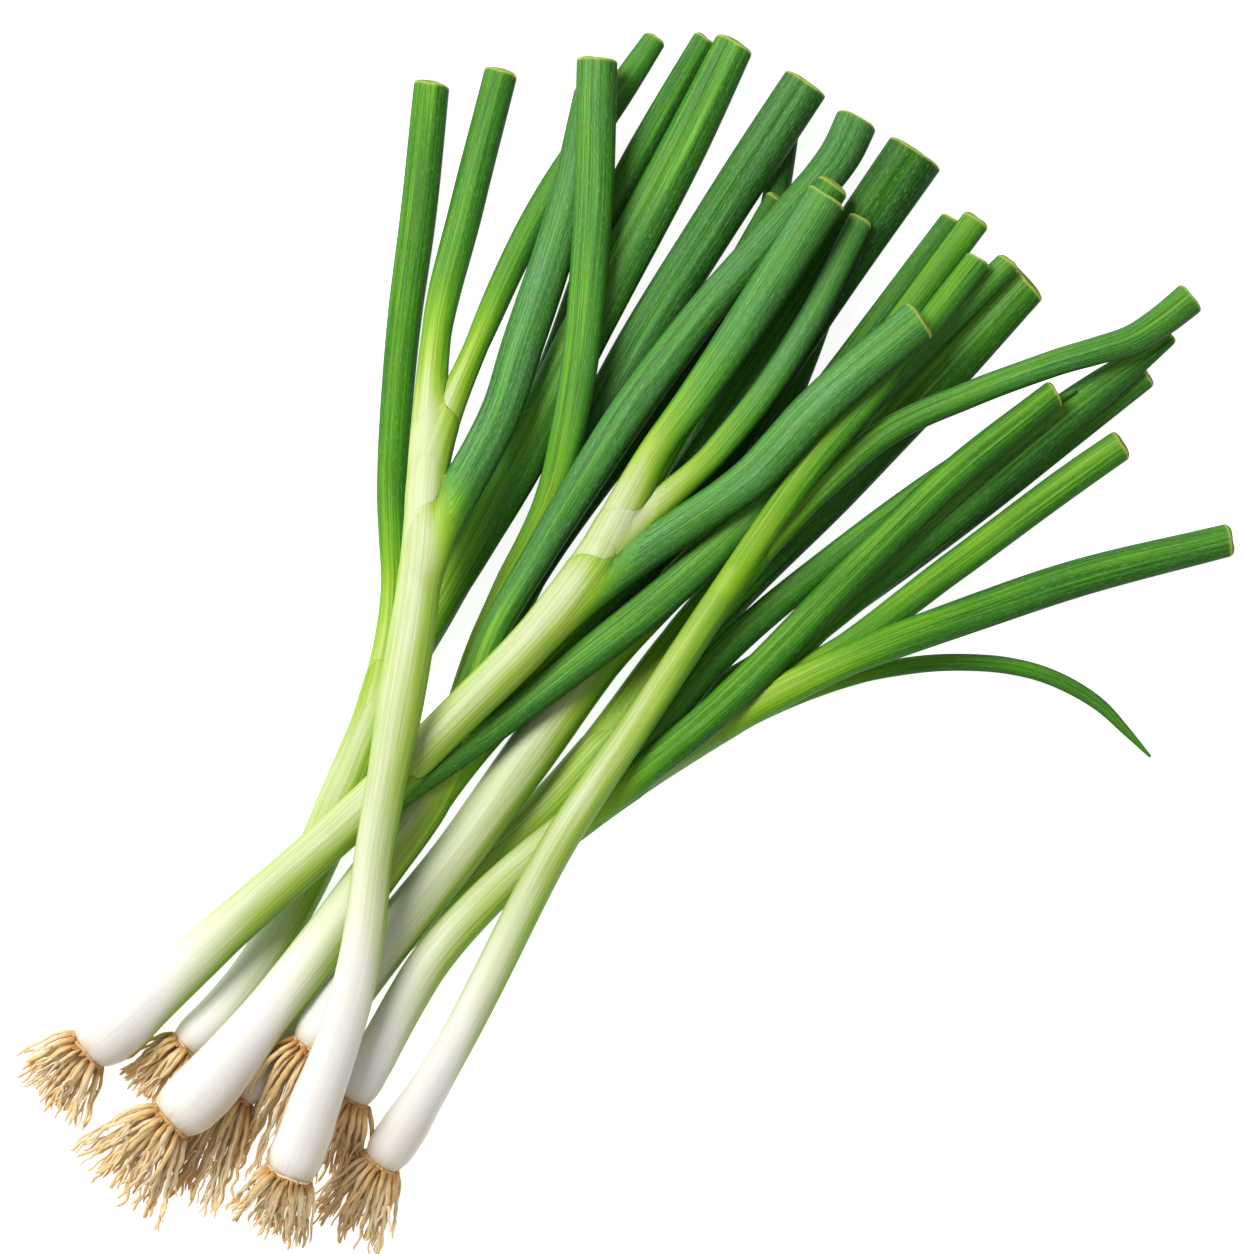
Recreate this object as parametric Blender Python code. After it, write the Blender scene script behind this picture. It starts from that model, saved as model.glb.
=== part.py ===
"""A loose bunch of eight spring onions lying on a flat surface.

Axes: X runs along the bunch from the roots to the cut leaf ends, Y runs across it, Z is up.
The origin is on the surface, under the middle of the bunch.

Every onion is a stem (bulb and shank), a tuft of roots and its leaves.  The routes are seen
from above.  The heights follow from the pile itself: the pieces are laid down one by one in
the order of PILE, and each rests on the surface and on the pieces already there.
"""
import math

import bmesh
import bpy
import numpy as np
from mathutils import Matrix, Vector

MM = 0.001

# Driving dimensions, in millimetres.
CLEARANCE = 0.55          # air left between two pieces that touch
SAMPLE = 2.5              # spacing of the points at which heights are worked out
RING_EVERY = 4            # a ring of vertices at every fourth of those points
STEM_SIDES = 10
LEAF_SIDES = 8
STEM_ROUNDNESS = 0.96     # height over width of a shank
LEAF_ROUNDNESS = 0.62     # height over width of a flattened hollow leaf
STEM_BEND = 210.0         # tightest radius over a support
LEAF_BEND = 70.0
STEM_SAG = 700.0          # radius in which a piece sags between two supports
LEAF_SAG = 260.0
FORK_SLACK = 0.8          # play of a leaf in its fork, in half heights of the shank
SETTLE_ROUNDS = 6

ROOT_THICKNESS = 1.5
ROOT_TIP = 0.5
ROOT_SIDES = 8            # faces round the root plate, each of which carries a root
ROOT_STEPS = 3
PLATE_DEPTH = 1.8
FLOOR_ROOT_HEIGHT = 0.9

# Routes seen from above: (x, y, width) in millimetres, from the root end to the leaf end.
STEMS = {
    "a": [(-157.5, 47.4, 13.4), (-148, 44.9, 17), (-137, 42.5, 15.4), (-127, 40.2, 13.7),
          (-110, 37, 12.6), (-61, 27, 11.3), (-27, 21.8, 11.2), (10, 17, 12.2), (30, 17, 12.2),
          (49, 19, 11)],
    "b": [(-141, 27.5, 9.4), (-133, 25.9, 11), (-112, 24.6, 11.2), (-91, 27, 12), (-60, 34, 12.4),
          (-24, 44, 10)],
    "c": [(-159, 18, 13.5), (-148, 16, 17.6), (-133, 15, 15.4), (-118, 14.5, 13.2),
          (-72, 14, 13.2), (-46, 15, 12.8), (-28, 19, 10.6)],
    "d": [(-151, -16, 13), (-143, -14, 14.6), (-131, -10, 13.8), (-117, -6, 12), (-94, 3, 11.6),
          (-68, 17.4, 10.6), (-52, 25.6, 10.8), (-33, 35.2, 12.5), (-16, 44, 12.5),
          (8, 58, 11.3), (20, 66, 11.2), (36, 75, 9.6)],
    "e": [(-121, 0.5, 10.5), (-109, 0.5, 13.4), (-88, 0.5, 13.6), (-57, -0.5, 13), (-20, 0, 14),
          (10, 0, 12.4), (28, -1, 10.8)],
    "f": [(-143, 8, 10), (-134, 7, 12.6), (-120, 5, 11.4), (-78, -2, 10.8), (-34, -12, 11.3),
          (4, -16, 12.8)],
    "g": [(-125, -17.5, 9.8), (-117, -16.2, 11.8), (-104, -14.4, 11.2), (-84, -12.2, 11),
          (-61, -14, 10.3), (-33, -20, 9.7), (6, -33, 9.6), (32, -44, 8.8)],
    "h": [(-134, -34, 11), (-126, -33.7, 13.2), (-118, -33.1, 11.8), (-107, -32, 10.2),
          (-94, -30.4, 9.7), (-78, -27.7, 9.9), (-39, -21, 9.5), (10, -18, 8.6), (56, -15, 8)],
}

LEAVES = {
    "a": [
        [(-44, 17, 4), (-27, 13, 7), (-13, 9, 7.8), (2, 5, 9.7), (32, -3, 10.3), (57, -8, 9.2),
         (85, -12, 8.1), (122, -18, 7.6), (162, -24, 7)],
        [(34, 5.5, 4), (46, 5, 9.4), (73, -3, 11.1), (99, -6, 12.2), (135, -14, 11.6)],
        [(51, 21.5, 5), (60, 22, 8), (81, 22, 9.5), (106, 23, 11.3), (146, 26, 11.3)],
        [(51, 14.5, 5), (60, 11, 7), (84, 8, 7.6), (111, 9, 7.8), (147, 15, 6.9)],
        [(52, 18, 4), (83, 21, 7), (112, 23, 8.6), (150, 26.5, 9.2)],
    ],
    "b": [
        [(-22, 47, 5), (-7, 57, 8.1), (12, 72, 8.6), (47, 95, 9.2), (77, 112, 10), (107, 130, 9.6)],
        [(-21, 42, 5), (-2, 43.5, 8.8), (16, 46, 11), (38, 49, 13), (76, 56, 13.5),
         (139, 66, 12.6), (165, 71, 11)],
        [(-21, 39, 4), (7, 43, 6), (68, 58.5, 8.1), (112, 71.3, 8.2), (141, 75.7, 7.6),
         (161, 78.2, 6.5)],
    ],
    "c": [
        [(-26.5, 20.5, 5), (-16, 23.5, 8), (-4, 27, 7.6), (20, 30, 8.2), (41, 32, 10),
         (72, 34, 11.3), (99, 34, 10), (137, 31, 10.3), (158, 30, 11.6), (168, 32, 11.6)],
        [(-26.5, 22, 3), (-14, 27.6, 4.4), (0, 31, 4.8), (16, 34, 5), (28, 35.2, 7.2),
         (37, 37.2, 9), (58, 46, 9.5), (99, 70, 10.8), (139, 98, 11.1)],
        [(-26.5, 19, 3), (-6, 23, 5), (16, 28, 7.5), (40, 35, 11.9), (73, 41, 12.4),
         (127, 46.4, 12.8), (168, 49, 12.8)],
        [(-26.5, 17.5, 3), (0, 23.5, 3), (25, 27, 4), (45, 28.5, 7), (75, 29, 8), (100, 31.5, 7.6),
         (138, 37, 5.6)],
        [(-25.4, 15.2, 3.6), (-14, 12, 9), (21, 8, 13), (74, 9, 14), (121, 12, 15.1),
         (171, 14, 16.2)],
        [(-30, 11, 3), (20, 9, 6), (78, 17, 7), (127, 32, 7.6), (152, 44, 7), (160, 48, 5.6)],
    ],
    "d": [
        [(24, 57, 5), (34, 58, 10.6), (66, 68, 11.6), (108, 83, 10.8), (131, 94, 9.4)],
        [(38, 77.5, 5), (50, 86, 8.6), (85, 102, 9.5), (121, 117, 9)],
        [(39, 72.5, 4), (59, 78, 7.3), (98, 86, 8.1), (135, 88, 8.4), (153, 89, 6.4)],
    ],
    "e": [
        [(30, -1, 3.5), (53, -4, 7), (104, -5, 7.6), (162, -5, 7)],
        [(30, -5, 3.5), (54, -8, 7.3), (106, -10, 7.3), (166, -10, 7.8)],
        [(30, 3, 3.5), (52, 0, 7.6), (81, -1, 8.1), (100, 3, 8.1), (128, 11, 7.6)],
    ],
    "f": [
        [(5.5, -15, 7), (14, -15, 13), (36, -16, 13.5), (87, -23, 13.5), (131, -28, 13.5),
         (161, -31, 12.8)],
        [(6, -20, 4), (30, -33, 6.6), (57, -43, 7), (97, -55, 8.1), (160, -72, 7)],
    ],
    "g": [
        [(33.5, -45, 4), (47, -52, 9.2), (83, -75, 10.3), (102, -88, 10.3), (138, -117, 9)],
        [(33.5, -48.5, 2.4), (50, -60, 4.9), (68, -79, 4.7), (78, -97, 4.6), (81, -115, 4.2),
         (79, -129, 2.4), (78, -135, 0.8)],
        [(34, -42, 3), (48, -49, 7.8), (86, -61, 8.4), (129, -74, 8.9), (141, -78, 8.5)],
        [(-10, -27, 4), (6, -31, 8.6), (21, -34, 9.5), (72, -41, 9.2), (105, -46, 9.2),
         (141, -55, 7.4)],
        [(-4, -24.5, 4), (27, -25, 8.4), (76, -36, 8.1), (117, -48, 5.4), (145, -59, 1.2)],
        [(32, -39, 3), (50, -41, 10), (95, -51, 11.9), (123, -57, 12.4), (146, -63, 11.3),
         (172, -71, 4.2)],
    ],
    "h": [
        [(57.5, -15, 6), (82, -14, 8.1), (118, -16, 7.8), (157, -17, 7.4)],
        [(58, -17.5, 4), (82, -20, 7.6), (105, -25, 7.6), (127, -37, 7.3), (150, -52, 7),
         (167, -64, 8.1), (184, -69, 9.2)],
    ],
}

# Wide leaves lie flatter than the narrow ones.
FLAT_LEAVES = {"c_leaf_5": 0.46, "f_leaf_1": 0.5, "c_leaf_3": 0.52, "b_leaf_2": 0.52,
               "g_leaf_6": 0.5, "a_leaf_2": 0.58}

# The order in which the pieces were laid down, the lowest first.
PILE = """
    f_stem f_leaf_1 f_leaf_2 e_leaf_3 b_leaf_3 e_leaf_1 e_stem e_leaf_2 c_leaf_6
    b_stem b_leaf_1 b_leaf_2 d_leaf_3 d_leaf_1
    g_stem g_leaf_2 g_leaf_6 g_leaf_3 g_leaf_5 g_leaf_1 g_leaf_4
    c_stem c_leaf_3 c_leaf_5 c_leaf_2 c_leaf_4 c_leaf_1
    a_leaf_5 a_leaf_1 h_leaf_2 h_stem h_leaf_1 a_leaf_4 a_stem a_leaf_3 a_leaf_2
    d_leaf_2 d_stem
""".split()

# Root tufts: length in mm, turn of the tuft's middle and its spread in degrees, and how late
# the roots come down to the surface.
ROOTS = {
    "a": (18, 18, 44, 0.6), "b": (18, 8, 44, 0.5), "c": (26, 12, 54, 0.7),
    "d": (18, 0, 48, 1.1), "e": (40, 18, 16, 2.2), "f": (33, 19, 17, 0.5),
    "g": (23, 7, 24, 0.5), "h": (23, 11, 32, 0.5),
}

STEM_COLOUR = (0.80, 0.86, 0.55, 1.0)
LEAF_COLOUR = (0.07, 0.26, 0.05, 1.0)
ROOT_COLOUR = (0.62, 0.45, 0.26, 1.0)


class Piece:
    """A stem or a leaf: a tube of changing width along a route."""

    def __init__(self, name, route, roundness, bend, sag):
        self.name = name
        self.bend = bend
        self.sag = sag
        self.plan, width = resample(route)
        self.half_width = width / 2
        self.half_height = width / 2 * roundness
        self.height = self.half_height.copy()

    def along(self):
        steps = np.linalg.norm(np.diff(self.plan, axis=0), axis=1)
        return np.concatenate([[0.0], np.cumsum(steps)])


def resample(route):
    """Even points on a smooth curve through the route's points, and the width at each."""
    points = np.array(route, float)
    chord = np.linalg.norm(np.diff(points[:, :2], axis=0), axis=1)
    knots = np.concatenate([[0.0], np.cumsum(chord)])
    slopes = np.gradient(points, knots, axis=0)
    rings = max(3, round(knots[-1] / (SAMPLE * RING_EVERY)))
    where = np.linspace(0.0, knots[-1], rings * RING_EVERY + 1)
    span = np.clip(np.searchsorted(knots, where, side="right") - 1, 0, len(knots) - 2)
    size = (knots[span + 1] - knots[span])[:, None]
    t = (where - knots[span])[:, None] / size
    curve = ((2 * t**3 - 3 * t**2 + 1) * points[span] + (t**3 - 2 * t**2 + t) * size * slopes[span]
             + (3 * t**2 - 2 * t**3) * points[span + 1] + (t**3 - t**2) * size * slopes[span + 1])
    width = np.interp(where, knots, points[:, 2])
    return curve[:, :2], width


def contact(upper, lower):
    """How far apart in height two pieces must be, point by point, where one crosses the other."""
    distance = np.linalg.norm(upper.plan[:, None, :] - lower.plan[None, :, :], axis=2)
    reach = upper.half_width[:, None] + lower.half_width[None, :] + CLEARANCE
    thickness = upper.half_height[:, None] + lower.half_height[None, :] + CLEARANCE
    over = np.clip(1 - (distance / reach) ** 2, 0, None)
    return np.where(over > 0, thickness * np.sqrt(over), -np.inf)


def bend_over(along, need, bend):
    """The supports' outline, eased so that nothing bends tighter than the radius."""
    drop = (along[:, None] - along[None, :]) ** 2 / (2 * bend)
    return (need[None, :] - drop).max(axis=1)


def span_between(along, need, sag):
    """The lowest line over the supports that sags between them no tighter than the radius."""
    curve = along**2 / (2 * sag)
    level = need - curve
    hull = []
    for i in range(len(along)):
        while len(hull) > 1:
            a, b = hull[-2], hull[-1]
            left = (level[b] - level[a]) * (along[i] - along[a])
            right = (level[i] - level[a]) * (along[b] - along[a])
            if left > right:
                break
            hull.pop()
        hull.append(i)
    return np.interp(along, along[hull], level[hull]) + curve


def end_to_end(leaf, stem):
    """Whether a leaf starts where its stem ends, and not at the stem's side."""
    return np.linalg.norm(stem.plan[-1] - leaf.plan[0]) < stem.half_width[-1]


def joined(one, other):
    """Whether two pieces are a stem and a leaf that goes on from its end."""
    if one.name[0] != other.name[0]:
        return False
    if one.name.endswith("_stem"):
        return end_to_end(other, one)
    return other.name.endswith("_stem") and end_to_end(one, other)


def foot(leaf, stem):
    """Where along its stem a leaf starts, and how far its foot may be off the stem's height."""
    distance = np.linalg.norm(stem.plan - leaf.plan[0], axis=1)
    joint = int(distance.argmin())
    if end_to_end(leaf, stem):
        return joint, stem.half_height[-1] * FORK_SLACK
    reach = stem.half_width[joint] + leaf.half_width[0] + CLEARANCE
    thickness = stem.half_height[joint] + leaf.half_height[0] + CLEARANCE
    touch = thickness * math.sqrt(max(0.0, 1 - (distance[joint] / reach) ** 2))
    return joint, touch + CLEARANCE


def settle(pieces):
    """Lay the pieces down in order, a few times over, until the heights agree.

    The first time they lie free of each other.  Then each stem is lifted to its leaves where
    those lie on something, and each leaf's foot follows its stem.
    """
    ordered = [pieces[name] for name in PILE]
    apart = {}
    for i, upper in enumerate(ordered):
        for lower in ordered[:i]:
            if not joined(upper, lower):
                apart[upper.name, lower.name] = contact(upper, lower)
    feet = []
    lifted = {piece.name: piece.half_height.copy() for piece in ordered}
    for turn in range(SETTLE_ROUNDS):
        needs = {name: need.copy() for name, need in lifted.items()}
        for leaf, stem, joint, slack in feet:
            needs[leaf.name][0] = max(needs[leaf.name][0], stem.height[joint] - slack)
        for i, piece in enumerate(ordered):
            need = needs[piece.name]
            for lower in ordered[:i]:
                if (piece.name, lower.name) in apart:
                    lift = apart[piece.name, lower.name] + lower.height[None, :]
                    need = np.maximum(need, lift.max(axis=1))
            along = piece.along()
            need = bend_over(along, need, piece.bend)
            piece.height = span_between(along, need, piece.sag)
        if turn == 0:
            for leaf in ordered:
                if "_leaf_" in leaf.name:
                    stem = pieces[leaf.name[0] + "_stem"]
                    joint, slack = foot(leaf, stem)
                    feet.append((leaf, stem, joint, slack))
                    need = lifted[stem.name]
                    need[joint] = max(need[joint], leaf.height[0] - slack)


def material(name, colour, roughness):
    made = bpy.data.materials.new(name)
    made.use_nodes = True
    shader = made.node_tree.nodes["Principled BSDF"]
    shader.inputs["Base Color"].default_value = colour
    shader.inputs["Roughness"].default_value = roughness
    return made


def add_object(name, mesh_builder, finish):
    mesh = bpy.data.meshes.new(name)
    mesh_builder.to_mesh(mesh)
    mesh_builder.free()
    mesh.materials.append(finish)
    mesh.shade_smooth()
    mesh.set_sharp_from_angle(angle=math.radians(50))
    made = bpy.data.objects.new(name, mesh)
    bpy.context.collection.objects.link(made)
    return made


def centreline(piece):
    """The ring centres of a piece in space."""
    points = np.column_stack([piece.plan, piece.height])[::RING_EVERY]
    return [Vector(point) for point in points]


def tube(piece, sides):
    """A closed tube with a ring of vertices across each of the piece's ring centres."""
    builder = bmesh.new()
    centres = centreline(piece)
    half_width = piece.half_width[::RING_EVERY]
    half_height = piece.half_height[::RING_EVERY]
    rings = []
    for i, centre in enumerate(centres):
        ahead = centres[min(i + 1, len(centres) - 1)] - centres[max(i - 1, 0)]
        side = Vector((0, 0, 1)).cross(ahead).normalized()
        up = ahead.normalized().cross(side)
        ring = []
        for k in range(sides):
            angle = math.tau * k / sides
            offset = side * math.cos(angle) * half_width[i] + up * math.sin(angle) * half_height[i]
            ring.append(builder.verts.new((centre + offset) * MM))
        rings.append(ring)
    for ring, following in zip(rings, rings[1:]):
        for k in range(sides):
            after = (k + 1) % sides
            builder.faces.new((ring[k], following[k], following[after], ring[after]))
    builder.faces.new(rings[0])
    builder.faces.new(reversed(rings[-1]))
    bmesh.ops.recalc_face_normals(builder, faces=builder.faces)
    return builder


def root_plate(centre, back, side, radius):
    """The flat disc under the bulb, with its outer ring of faces ready to carry roots."""
    builder = bmesh.new()
    up = side.cross(back)
    loops = []
    for depth, scale in ((0.0, 1.0), (0.5, 1.0), (1.0, 0.75), (1.15, 0.35)):
        loop = []
        for k in range(ROOT_SIDES):
            angle = math.tau * (k + 0.5) / ROOT_SIDES
            offset = side * math.cos(angle) + up * math.sin(angle)
            place = centre + back * depth * PLATE_DEPTH + offset * radius * scale
            loop.append(builder.verts.new(place * MM))
        loops.append(loop)
    bands = []
    for loop, following in zip(loops, loops[1:]):
        band = []
        for k in range(ROOT_SIDES):
            after = (k + 1) % ROOT_SIDES
            band.append(builder.faces.new((loop[k], following[k], following[after], loop[after])))
        bands.append(band)
    builder.faces.new(loops[0])
    builder.faces.new(reversed(loops[-1]))
    bmesh.ops.recalc_face_normals(builder, faces=builder.faces)
    return builder, bands


def grow_root(builder, face, heading, length, drop_to, lateness):
    """Draw one face of the plate out into a tapering root that comes down to a height."""
    start = face.calc_center_median() / MM
    for step in range(1, ROOT_STEPS + 1):
        share = step / ROOT_STEPS
        place = start + heading * length * share
        place.z = start.z + (drop_to - start.z) * share**lateness
        thickness = ROOT_THICKNESS + (ROOT_TIP - ROOT_THICKNESS) * share
        grown = bmesh.ops.extrude_discrete_faces(builder, faces=[face])["faces"][0]
        middle = grown.calc_center_median()
        normal = grown.normal.copy()
        turn = normal.rotation_difference(heading).to_matrix() if step == 1 else Matrix.Identity(3)
        for vertex in grown.verts:
            spoke = turn @ (vertex.co - middle)
            vertex.co = (place + spoke.normalized() * thickness / 2) * MM
        grown.normal_update()
        face = grown


def roots(letter, stem):
    """The tuft: a root plate with a fan of roots that droop to the surface."""
    length, turn, spread, lateness = ROOTS[letter]
    foot, second = centreline(stem)[:2]
    back = (foot - second).normalized()
    side = Vector((0, 0, 1)).cross(back).normalized()
    centre = foot + back * CLEARANCE
    builder, bands = root_plate(centre, back, side, stem.half_width[0] * 0.8)
    flat_back = Vector((back.x, back.y, 0)).normalized()
    for row, band in enumerate(bands[1:]):
        for k, face in enumerate(band):
            across = math.cos(math.tau * (k + 1) / ROOT_SIDES)
            upward = math.sin(math.tau * (k + 1) / ROOT_SIDES)
            swing = math.radians(turn + across * spread / 2 * (1.0 - 0.45 * row))
            heading = Matrix.Rotation(swing, 3, "Z") @ flat_back
            drop_to = FLOOR_ROOT_HEIGHT + (1 + upward) * 0.9 + row * 1.2
            reach = length * (0.8 + 0.2 * math.cos(3 * k + row))
            grow_root(builder, face, heading, reach, drop_to, lateness)
    return builder


def centre_on_origin(objects):
    """Shift everything so that the origin is under the middle of the bunch's box."""
    bpy.context.view_layer.update()
    corners = np.array([made.matrix_world @ vertex.co for made in objects
                        for vertex in made.data.vertices])
    low, high = corners.min(axis=0), corners.max(axis=0)
    shift = Vector((-(low[0] + high[0]) / 2, -(low[1] + high[1]) / 2, -low[2]))
    for made in objects:
        made.data.transform(Matrix.Translation(shift))


def build():
    for old in list(bpy.data.objects):
        bpy.data.objects.remove(old, do_unlink=True)
    pieces = {}
    for letter, route in STEMS.items():
        name = letter + "_stem"
        pieces[name] = Piece(name, route, STEM_ROUNDNESS, STEM_BEND, STEM_SAG)
        for number, leaf_route in enumerate(LEAVES[letter], 1):
            name = f"{letter}_leaf_{number}"
            roundness = FLAT_LEAVES.get(name, LEAF_ROUNDNESS)
            pieces[name] = Piece(name, leaf_route, roundness, LEAF_BEND, LEAF_SAG)
    settle(pieces)
    made = []
    for name, piece in pieces.items():
        if name.endswith("_stem"):
            finish = material(name, STEM_COLOUR, 0.4)
            made.append(add_object("onion_" + name, tube(piece, STEM_SIDES), finish))
            letter = name[0]
            finish = material(letter + "_roots", ROOT_COLOUR, 0.8)
            made.append(add_object(f"onion_{letter}_roots", roots(letter, piece), finish))
        else:
            finish = material(name, LEAF_COLOUR, 0.45)
            made.append(add_object("onion_" + name, tube(piece, LEAF_SIDES), finish))
    centre_on_origin(made)


build()
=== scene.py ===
"""Looks of the bunch of spring onions.

Every stem, leaf and tuft of roots is built around its own CAD node: the node's rings of
vertices give the piece's line and size, and the skin is drawn along that line.
Lengths are in millimetres unless a comment says otherwise.
"""
import math
import random

import bpy
import numpy as np
from mathutils import Matrix, Vector


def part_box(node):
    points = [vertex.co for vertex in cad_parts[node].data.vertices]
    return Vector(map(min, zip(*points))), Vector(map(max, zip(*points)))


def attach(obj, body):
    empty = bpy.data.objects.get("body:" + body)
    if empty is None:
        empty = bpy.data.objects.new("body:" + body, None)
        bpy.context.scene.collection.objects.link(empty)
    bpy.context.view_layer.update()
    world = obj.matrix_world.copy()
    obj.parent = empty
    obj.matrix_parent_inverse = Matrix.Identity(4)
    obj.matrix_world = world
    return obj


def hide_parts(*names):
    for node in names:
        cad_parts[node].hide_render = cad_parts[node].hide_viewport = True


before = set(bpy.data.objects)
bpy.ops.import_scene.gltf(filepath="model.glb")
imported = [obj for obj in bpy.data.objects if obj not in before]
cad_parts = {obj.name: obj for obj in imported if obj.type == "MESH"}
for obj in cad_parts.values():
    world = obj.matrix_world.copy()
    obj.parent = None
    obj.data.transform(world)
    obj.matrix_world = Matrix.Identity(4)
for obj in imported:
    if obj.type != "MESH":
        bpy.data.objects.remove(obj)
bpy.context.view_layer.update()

MM = 0.001
SEED = 7

FLOOR_GAP = 0.05          # no skin comes nearer to the surface than this
STEM_CREST = math.sin(math.radians(72))   # height of a CAD stem's top corner, by its radius
END_FLATNESS = 0.05       # the points of a node's flat end are this near to one plane
END_REACH = 30.0          # and this near to each other

STEM_SIDES = 60           # faces round a stem
LEAF_SIDES = 44           # faces round a leaf
RING_STEP = 1.5           # spacing of the rings of a skin
FOOT_RINGS = (0.0, 0.15, 0.4, 0.8, 1.15)   # closer rings at the foot of a bulb
CUT_RINGS = (1.8, 1.2, 0.7, 0.3, 0.0)      # closer rings before the end of a leaf
CUT_START = 2.4           # the evenly spaced rings stop this far before it
FINE_PAST_FORK = 14.0     # the rings of a sheath are closer, up to this far past its fork
HOLLOW_RINGS = 14

FOOT_ROUND = 4.5          # the foot of a bulb rounds off over this length
FOOT_SIZE = 0.86          # size of the rounded foot at the plate, as a share
BULB_END = 9.0            # the foot of the bulb swells out over this length
TIP = 3.0                 # length of a stem's hidden tip beyond its fork

WALL = 0.55               # thickness of a leaf's wall
HOLLOW_DEPTH = 34.0       # how far the hollow of a cut leaf is drawn
END_BULGE = 0.9           # a cut end is a little convex
POINTED = 1.2             # a leaf whose end has a smaller half width than this isn't cut
SIDE_LEAF = 6.0           # a side leaf starts further than this before its stem's end
SIDE_SHEATH = (32.0, 30.0)  # how far back into its stem a side leaf is drawn, and its own foot
END_SHEATH = (24.0, 20.0)   # the same for a leaf at the stem's end
MOUTH = 12.0              # how far a sheath's mouth runs back from its fork, where not in MOUTHS
FREE = 0.94               # a leaf is free of its core at this share of their sizes together
PAST_FORK = 8             # rings past the fork over which a sheath turns back into its leaf
LATEST_FORK = 90          # the last ring at which a leaf can leave its core
SHEATH_START = 4.0        # no sheath is drawn further down a stem than this
SHEATH_SWELL = (2.2, 3.12)  # it is at most so many times as wide and as high as its leaf
PATH_STEP = 2.5           # spacing of the points of a leaf's path

ROOT_COUNT = 50           # roots of a tuft
ROOT_STEP = 0.8           # spacing of the rings of a root
ROOT_SIDES = 7
BROWN_FOOT = 4.0          # a root is brown over this length
STUB_COUNT = 30           # old root ends round the plate
FAN = 0.32                # share of a tuft's spread that the roots' own directions take up
PLATE_DEPTHS = (-0.9, -0.4, 0.0, 0.4, 0.9, 1.4, 1.7, 1.85)   # behind the foot
PLATE_SIZES = (0.82, 0.88, 0.91, 0.89, 0.80, 0.60, 0.34, 0.06)   # as shares of its own

GRAIN_RADIUS = 6.0        # radius on which the veins of every skin are drawn
GRAIN_START = 450.0       # how far apart the veins of two onions start

# Greenness along a stem: length of the white part, where the shank's green is reached, that
# green, and the green at the fork.
STEM_GREEN = {
    "a": (9, 68, 0.45, 0.40), "b": (-12, 58, 0.44, 0.50), "c": (26, 92, 0.45, 0.62),
    "d": (36, 115, 0.42, 0.40), "e": (-8, 78, 0.36, 0.56), "f": (0, 70, 0.46, 0.62),
    "g": (4, 66, 0.44, 0.62), "h": (20, 92, 0.43, 0.64),
}

# Bloom (a bluish waxen coat, also painted as a highlight on a leaf's lit side) and shade of
# single leaves: how much darker (below zero) or lighter each leaf is painted, partly its own
# green and partly painted shade and light.
LEAF_TONE = {
    "a_leaf_1": (0.50, 0.06), "a_leaf_2": (1.00, -0.02), "a_leaf_3": (0.85, -0.07),
    "a_leaf_4": (0.90, -0.05), "a_leaf_5": (0.20, -0.10), "b_leaf_1": (0.15, 0.04),
    "b_leaf_2": (0.40, 0.04), "b_leaf_3": (0.20, -0.12), "c_leaf_1": (0.85, -0.12),
    "c_leaf_2": (0.60, 0.04), "c_leaf_3": (0.50, -0.18), "c_leaf_4": (0.10, -0.26),
    "c_leaf_5": (0.05, -0.22), "c_leaf_6": (0.08, -0.26), "d_leaf_1": (1.00, -0.10),
    "d_leaf_2": (0.22, -0.02), "d_leaf_3": (0.25, -0.03), "e_leaf_1": (0.20, -0.08),
    "e_leaf_2": (0.20, 0.18), "e_leaf_3": (0.20, -0.12), "f_leaf_1": (0.22, 0.04),
    "f_leaf_2": (0.30, 0.02), "g_leaf_1": (0.30, -0.01), "g_leaf_2": (0.20, 0.00),
    "g_leaf_3": (0.20, 0.20), "g_leaf_4": (0.08, 0.05), "g_leaf_5": (0.20, -0.02),
    "g_leaf_6": (0.35, 0.02), "h_leaf_1": (0.25, 0.10), "h_leaf_2": (0.50, 0.04),
}

# Leaves with a fold along them: depth of the fold and its place across the leaf.
FOLDS = {
    "a_leaf_2": (0.5, 0.2), "b_leaf_2": (1.0, 0.2), "c_leaf_2": (0.6, 0.1),
    "c_leaf_3": (1.0, 0.15), "c_leaf_5": (1.3, -0.1), "d_leaf_1": (0.5, -0.2),
    "f_leaf_1": (1.3, 0.25), "g_leaf_4": (0.6, 0.1), "g_leaf_6": (0.9, -0.1),
    "h_leaf_2": (0.9, 0.2),
}

# At a stem's last fork, the leaf whose sheath is the outermost and the leaf that comes out of it.
LAST_FORKS = {
    "a_leaf_4": "a_leaf_3", "b_leaf_2": "b_leaf_1", "c_leaf_5": "c_leaf_1",
    "d_leaf_2": "d_leaf_3", "e_leaf_2": "e_leaf_1", "f_leaf_1": "f_leaf_2",
    "g_leaf_1": "g_leaf_6", "h_leaf_1": "h_leaf_2",
}

# The length in which a leaf at its stem's end turns from pale to green.
USUAL_TURN = 70
TURNS_GREEN = {"c_leaf_2": 150, "g_leaf_1": 80, "g_leaf_3": 32}
LEAF_GREEN = 0.97         # greenness of a leaf before the light and shade painted on it and its own shade

# How far a sheath's mouth runs back from the fork along the far side of what comes out of it.
MOUTHS = {"d_leaf_1": 27.0, "a_leaf_2": 15.0, "d_leaf_2": 9.0, "a_leaf_4": 10.0}
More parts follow.
